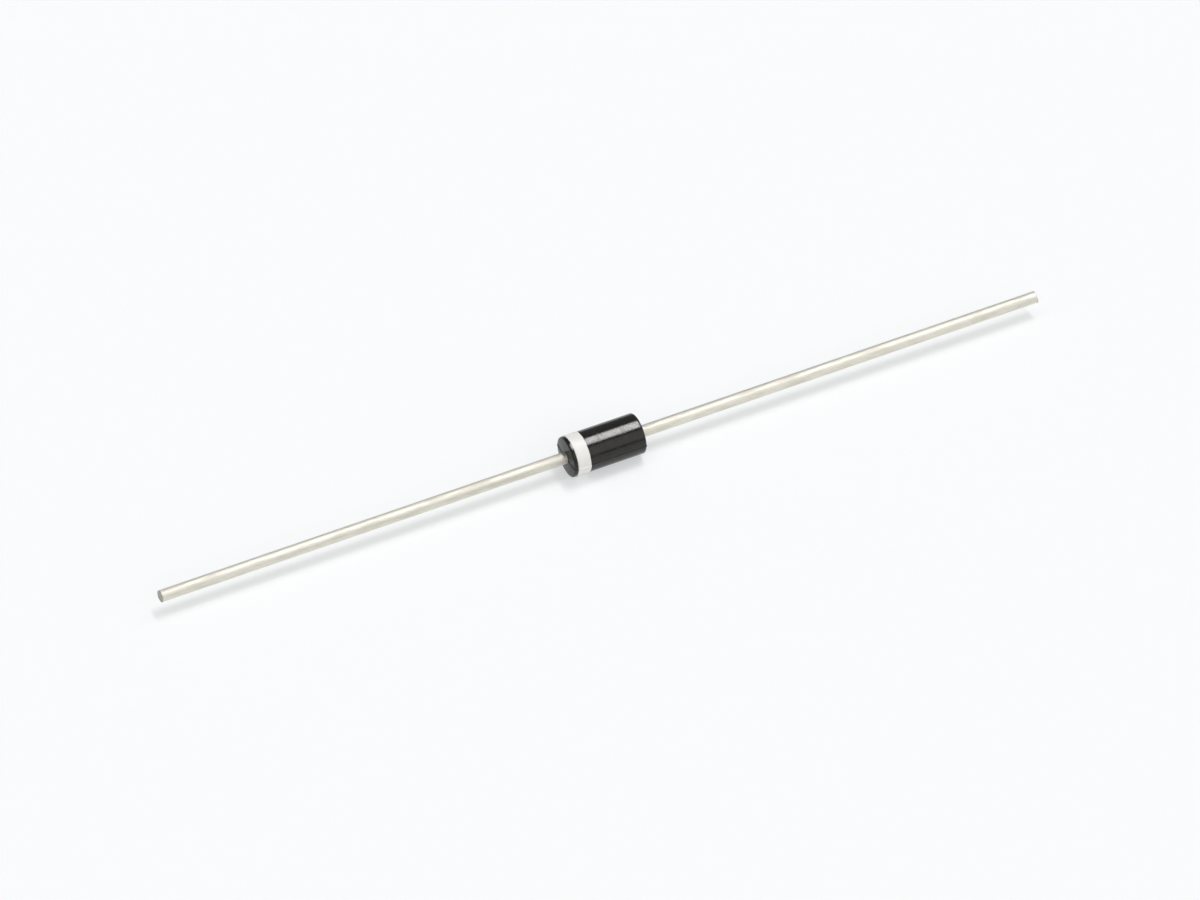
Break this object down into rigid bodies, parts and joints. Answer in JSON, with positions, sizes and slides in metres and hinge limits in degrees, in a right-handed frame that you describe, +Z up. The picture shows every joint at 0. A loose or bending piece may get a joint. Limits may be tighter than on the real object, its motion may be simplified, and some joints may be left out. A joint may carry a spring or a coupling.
{
  "type": "axial rectifier diode",
  "caption": "Black moulded cylinder with a pale printed ring near one end and a straight tinned wire lead out of each end.",
  "frame": {"origin": "centre of the moulded body, halfway between the tips of the leads", "axes": "+X along the leads from cathode to anode, +Z up, square to the mould's parting plane"},
  "size_m": [0.0618, 0.0028, 0.0028],
  "materials": {
    "epoxy": "black moulding epoxy, satin from the mould",
    "band_ink": "off-white printed ink",
    "tinned_copper": "bright tin plate on drawn copper wire",
    "silicon": "grey silicon with metallised faces",
    "solder": "dull lead-tin solder",
    "silicone": "milky cured silicone"
  },
  "bodies": {
    "root": {"moulded_body": "epoxy", "cathode_band": "band_ink", "cathode_lead": "tinned_copper", "anode_lead": "tinned_copper", "silicon_die": "silicon", "cathode_solder": "solder", "anode_solder": "solder", "junction_coating": "silicone"}
  },
  "joints": []
}
